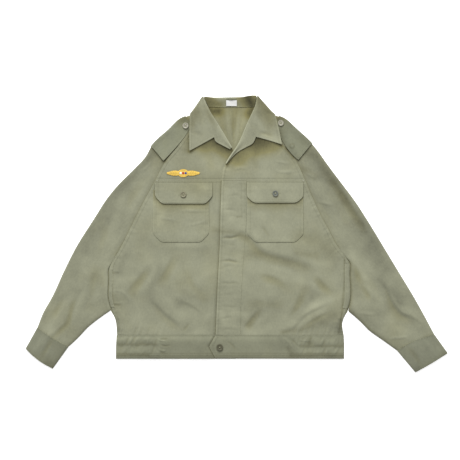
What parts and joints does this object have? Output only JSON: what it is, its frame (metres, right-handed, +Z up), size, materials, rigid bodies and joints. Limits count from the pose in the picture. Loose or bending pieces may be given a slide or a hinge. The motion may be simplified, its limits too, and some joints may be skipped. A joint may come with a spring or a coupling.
{
  "type": "military service shirt jacket",
  "caption": "Waist-length raglan service shirt of sage twill, buttoned and laid flat with its sleeves spread.",
  "frame": {"origin": "centre of the garment's box, on the surface that it lies on", "axes": "+Z up from the surface, +Y towards the collar, +X to the right as one looks down on the front"},
  "size_m": [1.0142, 0.6626, 0.0134],
  "materials": {
    "twill": "matt sage green cotton twill, washed soft",
    "folded_twill": "the same twill, doubled and a little darker",
    "shell_button": "grey pearly shirt button",
    "olive_button": "dark olive dished button, low gloss",
    "gold_thread": "dense satin stitch in gold thread",
    "white_label": "blank white woven tape"
  },
  "bodies": {
    "root": {"back": "twill", "chest_patch": "gold_thread", "collar_fall": "twill", "collar_leaf_left": "twill", "collar_leaf_right": "twill", "cuff_left": "twill", "cuff_right": "twill", "flap_button_left": "shell_button", "flap_button_right": "shell_button", "flap_left": "twill", "flap_right": "twill", "fly_placket": "twill", "front_left": "twill", "front_right": "twill", "hanging_loop": "twill", "lapel_left": "twill", "lapel_right": "twill", "neck_band": "twill", "neck_label": "white_label", "pocket_left": "twill", "pocket_right": "twill", "sleeve_left": "twill", "sleeve_right": "twill", "strap_button_left": "shell_button", "strap_button_right": "shell_button", "strap_left": "folded_twill", "strap_right": "folded_twill", "waist_button": "olive_button", "waistband_back": "folded_twill", "waistband_left": "folded_twill", "waistband_right": "folded_twill", "welt_left": "twill", "welt_right": "twill", "yoke_left": "twill", "yoke_right": "twill"}
  },
  "joints": []
}
